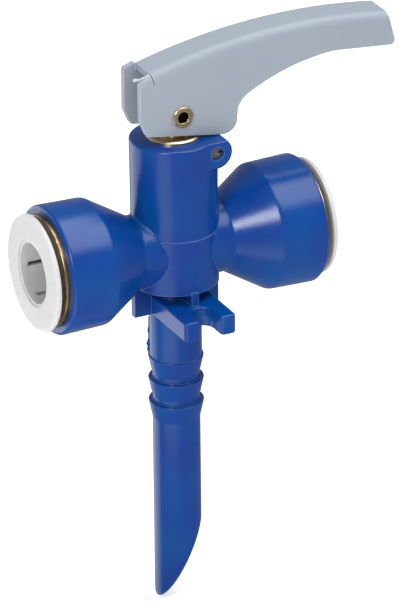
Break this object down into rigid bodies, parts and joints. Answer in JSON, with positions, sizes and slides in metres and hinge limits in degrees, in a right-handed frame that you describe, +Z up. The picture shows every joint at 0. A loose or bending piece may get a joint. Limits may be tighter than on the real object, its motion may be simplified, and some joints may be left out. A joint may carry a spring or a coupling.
{
  "type": "lever drain valve",
  "caption": "Lever-lifted drain valve with push-fit pipe sockets at each side of a blue bonnet, a floor plate with open screw slots and a barbed spigot with an oblique end.",
  "frame": {"origin": "on the valve axis, in the underside of the floor plate, midway between the screw slots", "axes": "+Z up along the valve axis, +X along the pipe run towards the tip of the shut lever, +Y to the rear screw slot"},
  "size_m": [0.0768, 0.032, 0.1189],
  "materials": {
    "body_blue": "moulded nylon with a soft gloss",
    "collet_white": "smooth moulded acetal",
    "turned_brass": "turned, bright on the edges",
    "lever_paint": "satin grey coat on folded steel",
    "pin_steel": "plain",
    "spring_steel": "drawn and ground",
    "seal_rubber": "smooth"
  },
  "bodies": {
    "body": {"valve_body": "body_blue", "retaining_pin": "pin_steel", "guide_bushing": "turned_brass", "bushing_o_ring": "seal_rubber", "stem_seal": "seal_rubber", "closing_spring": "spring_steel", "left_o_ring": "seal_rubber", "left_backup_ring": "collet_white", "left_retaining_ring": "turned_brass", "right_o_ring": "seal_rubber", "right_backup_ring": "collet_white", "right_retaining_ring": "turned_brass"},
    "stem": {"valve_stem": "turned_brass", "valve_disc": "turned_brass", "seat_washer": "seal_rubber", "seat_screw": "pin_steel"},
    "handle": {"lever": "lever_paint", "pivot_rivet": "turned_brass"},
    "left_release": {"left_collet": "collet_white", "left_grip_teeth": "spring_steel"},
    "right_release": {"right_collet": "collet_white", "right_grip_teeth": "spring_steel"}
  },
  "joints": [
    {"name": "stem_lift", "type": "slide", "parent": "body", "child": "stem", "axis": [0, 0, 1], "range_m": [0, 0.0052], "deforming": ["closing_spring"]},
    {"name": "lever_hinge", "type": "hinge", "parent": "stem", "child": "handle", "pos_m": [0, 0, 0.0422], "axis": [0, -1, 0], "range_deg": [0, 90]},
    {"name": "left_collet_slide", "type": "slide", "parent": "body", "child": "left_release", "axis": [1, 0, 0], "range_m": [0, 0.0012]},
    {"name": "right_collet_slide", "type": "slide", "parent": "body", "child": "right_release", "axis": [-1, 0, 0], "range_m": [-0.00045, 0.00075]}
  ],
  "couplings": [
    {"joint": "stem_lift", "follows": "lever_hinge", "m_per_rad": 0.0033104}
  ]
}
